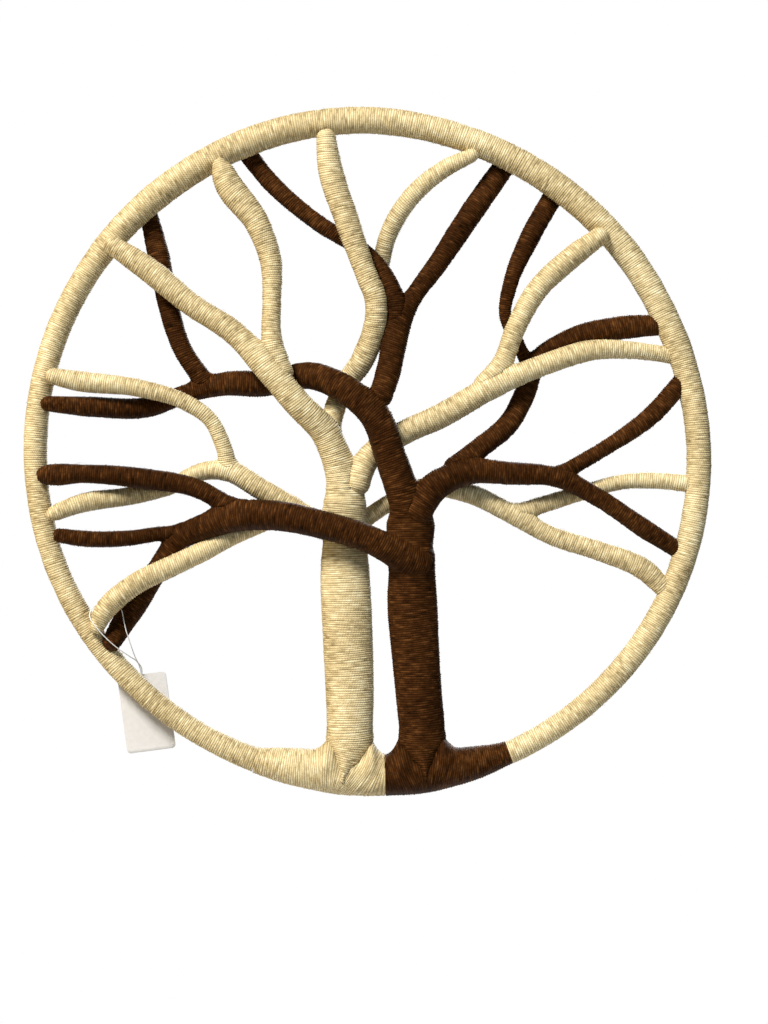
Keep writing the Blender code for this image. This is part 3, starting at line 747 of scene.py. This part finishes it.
def yarn_material(name, dark, mid, light, specular, sheen):
    """Two-ply yarn: each turn has its own tone, painted shade that darkens the grooves between
    turns, twisted plies and fine fibres.
    """
    n = Nodes(name)
    along, over = n.attribute("along"), n.attribute("over")
    patches = n.noise(n.place(), 14, 2)
    streaks = n.noise(n.combine(n.math("MULTIPLY", along, 0.09), 0.0), 1.0, 3)
    lint_along, lint_over = n.math("MULTIPLY", along, 0.9), n.math("MULTIPLY", over, 6.0)
    lint = n.noise(n.combine(lint_along, lint_over), 1.0, 3)
    tone = n.math("MULTIPLY_ADD", streaks, 1.7, -0.35)
    tone = n.math("MULTIPLY_ADD", lint, 0.6, n.math("SUBTRACT", tone, 0.3))
    tone = n.math("MULTIPLY_ADD", patches, 0.6, n.math("SUBTRACT", tone, 0.3))
    colour = n.ramp(tone, [(0.1, dark), (0.5, mid), (0.9, light)])
    # painted shade: the base colour is mixed towards the dark tone near the grooves between turns,
    # where shade falls
    from_ridge = n.math("ABSOLUTE", n.math("MULTIPLY_ADD", over, 2.0, -1.0))
    painted_groove_shade = n.math("MULTIPLY", n.math("POWER", from_ridge, 2.5), 0.85)
    ply = n.math("SINE", n.math("MULTIPLY_ADD", along, 3.4, n.math("MULTIPLY", over, 4.5)))
    n.bump(n.math("MULTIPLY_ADD", ply, 0.25, n.math("MULTIPLY", lint, 0.8)), 0.6, 0.00025)
    n.set(
        Base_Color=n.mix(painted_groove_shade, colour, dark), Roughness=n.math("MULTIPLY_ADD", lint, 0.2, 0.4),
        Sheen_Weight=sheen, Sheen_Roughness=0.4, Sheen_Tint=light,
        Specular_IOR_Level=specular, Specular_Tint=light,
    )
    return n.material


def steel_material(name, colour, roughness):
    n = Nodes(name)
    grain = n.noise(n.place(), 900, 4)
    darker = tuple(0.7 * c for c in colour)
    n.set(
        Base_Color=n.ramp(grain, [(0.3, darker), (0.7, colour)]), Metallic=1.0,
        Roughness=n.math("ADD", n.math("MULTIPLY", grain, 0.25), roughness),
    )
    return n.material


def card_material():
    n = Nodes("card")
    mottle = n.noise(n.place(), 260, 4)
    n.bump(n.noise(n.place(), 2200, 3), 0.25, 0.0001)
    n.set(
        Base_Color=n.ramp(mottle, [(0.3, (0.62, 0.6, 0.585)), (0.7, (0.67, 0.65, 0.635))]),
        Roughness=n.math("ADD", n.math("MULTIPLY", mottle, 0.15), 0.6),
    )
    return n.material


def thread_material():
    n = Nodes("cotton_thread")
    fibres = n.noise(n.place(), 1500, 3)
    n.bump(fibres, 0.4, 0.0001)
    n.set(
        Base_Color=n.ramp(fibres, [(0.3, (0.66, 0.65, 0.62)), (0.7, (0.86, 0.85, 0.82))]),
        Roughness=0.75, Sheen_Weight=0.2,
    )
    return n.material


# ---------------------------------------------------------------- pieces


def new_piece(name, mesh, material, body, node):
    mesh.materials.append(material)
    piece = bpy.data.objects.new(name, mesh)
    bpy.context.scene.collection.objects.link(piece)
    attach(piece, body)
    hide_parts(node)
    return piece


def make_yarn(tubes, materials):
    pairs = joined()
    for name, tube in tubes.items():
        kind = "brown" if name.startswith("brown") else "cream"
        node = name if name.startswith("hoop") else name + "_wrap"
        mesh = yarn_mesh(name + "_yarn", tube, pairs.get(name, {}), tubes)
        new_piece(name + "_yarn", mesh, materials[kind], "hanging", node)


def thread_route():
    """Down from behind the branch, through the tag's hole, and up over the branch again."""
    down = smooth_route(THREAD_DOWN, np.linspace(0, 1, 60))
    up = smooth_route(THREAD_UP, np.linspace(0, 1, 90))
    x, y, z = PIVOT
    turn = [
        (x, y - TURN_RADIUS * math.cos(a), z + TURN_RADIUS * (1 - math.sin(a)))
        for a in (math.pi * k / 10 for k in range(1, 10))
    ]
    return np.array([*down, *turn, *up])


def make_thread(material):
    """A thin twisted thread, looped over a branch and through the card's hole."""
    route = thread_route()
    steps = np.linalg.norm(np.diff(route, axis=0), axis=1)
    at = np.concatenate([[0], np.cumsum(steps)])
    stations = np.arange(0, at[-1], THREAD_STEP)
    line = np.stack([np.interp(stations, at, route[:, k]) for k in range(3)], 1)
    tangent = unit(np.gradient(line, axis=0))
    across = unit(np.cross(tangent, [0.3, 0.9, 0.31]))  # a direction the thread never runs in
    deep = np.cross(tangent, across)
    sides = THREAD_SIDES
    angle = 2 * math.pi * np.arange(sides) / sides
    rings = []
    for k, station in enumerate(stations):
        twist = 2 * math.pi * station / THREAD_LAY
        radius = THREAD_RADIUS * (0.97 + 0.13 * np.cos(2 * (angle - twist)))
        ring = across[k] * np.cos(angle)[:, None] + deep[k] * np.sin(angle)[:, None]
        rings.append(line[k] + ring * radius[:, None])
    vertices = [*np.concatenate(rings), line[0], line[-1]]
    count = len(stations)
    faces = []
    for k in range(count - 1):
        for s in range(sides):
            t = (s + 1) % sides
            faces.append((k * sides + s, k * sides + t, (k + 1) * sides + t, (k + 1) * sides + s))
    for s in range(sides):
        t = (s + 1) % sides
        faces.append((t, s, count * sides))
        faces.append(((count - 1) * sides + s, (count - 1) * sides + t, count * sides + 1))
    mesh = bpy.data.meshes.new("tag_thread_cotton")
    mesh.from_pydata(((np.array(vertices) - HOOK_AT) * MM).tolist(), [], faces)
    mesh.shade_smooth()
    thread = new_piece(
        "tag_thread_cotton", mesh, material, "hanging", "tag_thread")


def card_outline():
    """Points round the card's edge about its pivot, anticlockwise seen from the front."""
    half = TAG_WIDTH / 2 - TAG_CORNER
    top, bottom = TAG_ABOVE - TAG_CORNER, TAG_CORNER - TAG_BELOW
    corners = [(half, top, 0), (-half, top, 90), (-half, bottom, 180), (half, bottom, 270)]
    outline = []
    for k, (x, z, start) in enumerate(corners):
        for a in np.radians(start + np.linspace(0, 90, 9)):
            outline.append((x + TAG_CORNER * math.cos(a), z + TAG_CORNER * math.sin(a)))
        ahead_x, ahead_z, ahead = corners[(k + 1) % 4]
        a = math.radians(ahead)
        end = (ahead_x + TAG_CORNER * math.cos(a), ahead_z + TAG_CORNER * math.sin(a))
        here = outline[-1]
        steps = round(math.dist(here, end) / STATION)
        for share in np.arange(1, steps) / steps:
            outline.append(tuple(here[i] + (end[i] - here[i]) * share for i in range(2)))
    return np.array(outline)


def make_card(material):
    """The card, a little curled, with softened edges and a punched hole."""
    outline = card_outline()
    hole = np.array([0, -HOLE_DROP])
    spokes = outline - hole
    bearing = np.arctan2(spokes[:, 1], spokes[:, 0])
    rim = hole + HOLE_RADIUS * np.stack([np.cos(bearing), np.sin(bearing)], 1)

    def ring(share, inset, lift):
        start = rim + inset * unit(spokes)
        end = outline - inset * unit(spokes)
        flat = start + (end - start) * share
        curl = TAG_CURL * (1 - np.cos(flat[:, 1] / TAG_BELOW * TAG_CURL_ARC))
        y = curl + TAG_BOW * flat[:, 0] ** 2
        return np.stack([flat[:, 0], y + lift * TAG_THICK, flat[:, 1]], 1)

    front = [ring(share, TAG_EDGE, -0.5) for share in np.linspace(0, 1, TAG_RINGS)]
    back = [ring(share, TAG_EDGE, 0.5) for share in np.linspace(1, 0, TAG_RINGS)]
    low = 0.5 - TAG_EDGE / TAG_THICK
    rings = [ring(0, 0, -low), *front, ring(1, 0, -low), ring(1, 0, low), *back, ring(0, 0, low)]
    count = len(outline)
    faces = []
    for k in range(len(rings)):
        this, following = k * count, ((k + 1) % len(rings)) * count
        for s in range(count):
            t = (s + 1) % count
            faces.append((this + s, this + t, following + t, following + s))
    lean = math.radians(TAG_LEAN_DEG)
    flat = np.concatenate(rings)
    x = flat[:, 0] * math.cos(lean) + flat[:, 2] * math.sin(lean)
    z = -flat[:, 0] * math.sin(lean) + flat[:, 2] * math.cos(lean)
    placed = (np.stack([x, flat[:, 1], z], 1) + PIVOT - HOOK_AT) * MM
    mesh = bpy.data.meshes.new("hang_tag_card")
    mesh.from_pydata(placed.tolist(), [], faces)
    mesh.shade_smooth()
    mesh.set_sharp_from_angle(angle=math.radians(50))
    new_piece("hang_tag_card", mesh, material, "tag", "hang_tag")


def finish_steel(frame):
    """The rod and wires inside the windings keep their CAD shape."""
    rod = steel_material("steel_rod", (0.42, 0.42, 0.43), 0.3)
    wire = steel_material("craft_wire", (0.5, 0.5, 0.5), 0.22)
    for name, node in frame["nodes"].items():
        if name.endswith(("_core", "_wire")):
            node.data.materials.clear()
            node.data.materials.append(rod if name == "hoop_core" else wire)


# ---------------------------------------------------------------- studio


def make_camera():
    camera = bpy.data.objects.new("camera", bpy.data.cameras.new("camera"))
    bpy.context.scene.collection.objects.link(camera)
    camera.location = CAMERA_AT
    camera.rotation_euler = (math.radians(90), 0, 0)
    camera.data.sensor_width = SENSOR
    camera.data.lens = SENSOR * -CAMERA_AT[1] / VIEW_HEIGHT
    bpy.context.scene.camera = camera


def area_light(name, place, size, power, colour):
    """A square light that faces the middle of the hoop."""
    light = bpy.data.lights.new(name, "AREA")
    light.size = size
    light.energy = power
    light.color = colour
    lamp = bpy.data.objects.new(name, light)
    bpy.context.scene.collection.objects.link(lamp)
    lamp.location = place
    facing = Vector(HOOP_MIDDLE) - Vector(place)
    lamp.rotation_euler = facing.to_track_quat("-Z", "Y").to_euler()


def make_lights():
    area_light("key", (-2.0, -3.0, 3.1), 1.3, 415, (1, 0.975, 0.93))
    area_light("warm_side", (-2.2, -0.5, -0.2), 0.8, 16, (1, 0.78, 0.42))
    area_light("front_fill", (0.3, -1.8, -0.1), 0.6, 3.4, (0.8, 0.93, 1))
    area_light("right_fill", (1.1, -0.9, 0), 0.5, 4, (0.78, 0.9, 1))
    area_light("back_fill", (0.6, 2.2, 0.6), 1.5, 40, (1, 1, 1))


def make_world():
    """White to the camera, and dim as a light."""
    world = bpy.data.worlds.new("studio")
    bpy.context.scene.world = world
    world.use_nodes = True
    tree = world.node_tree
    background = tree.nodes["Background"]
    background.inputs["Color"].default_value = (1, 1, 1, 1)
    path = tree.nodes.new("ShaderNodeLightPath")
    strength = tree.nodes.new("ShaderNodeMapRange")
    strength.inputs["To Min"].default_value = WORLD_LIGHT
    strength.inputs["To Max"].default_value = 1.0
    tree.links.new(path.outputs["Is Camera Ray"], strength.inputs["Value"])
    tree.links.new(strength.outputs["Result"], background.inputs["Strength"])
    bpy.context.scene.view_settings.view_transform = "Standard"


def make_floor():
    """A floor well below the picture, as the piece hangs on a wall."""
    mesh = bpy.data.meshes.new("floor")
    square = ((-1, -1), (1, -1), (1, 1), (-1, 1))
    corners = [(x * FLOOR_HALF, y * FLOOR_HALF, FLOOR_LEVEL) for x, y in square]
    mesh.from_pydata(corners, [], [(0, 1, 2, 3)])
    n = Nodes("floor")
    n.set(Base_Color=(0.8, 0.8, 0.8), Roughness=0.6)
    mesh.materials.append(n.material)
    floor = bpy.data.objects.new("floor", mesh)
    bpy.context.scene.collection.objects.link(floor)


def main():
    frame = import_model()
    make_camera()
    make_card(card_material())
    make_thread(thread_material())
    cream = yarn_material(
        "cream_yarn", dark=(0.21, 0.15, 0.065), mid=(0.66, 0.52, 0.28), light=(0.96, 0.86, 0.56),
        specular=0.5, sheen=0.1)
    brown = yarn_material(
        "brown_yarn", dark=(0.008, 0.003, 0.001), mid=(0.050, 0.0175, 0.0045),
        light=(0.15, 0.058, 0.016), specular=0.14, sheen=0.0)
    make_yarn(all_tubes(), {"cream": cream, "brown": brown})
    finish_steel(frame)
    make_lights()
    make_world()
    make_floor()


main()
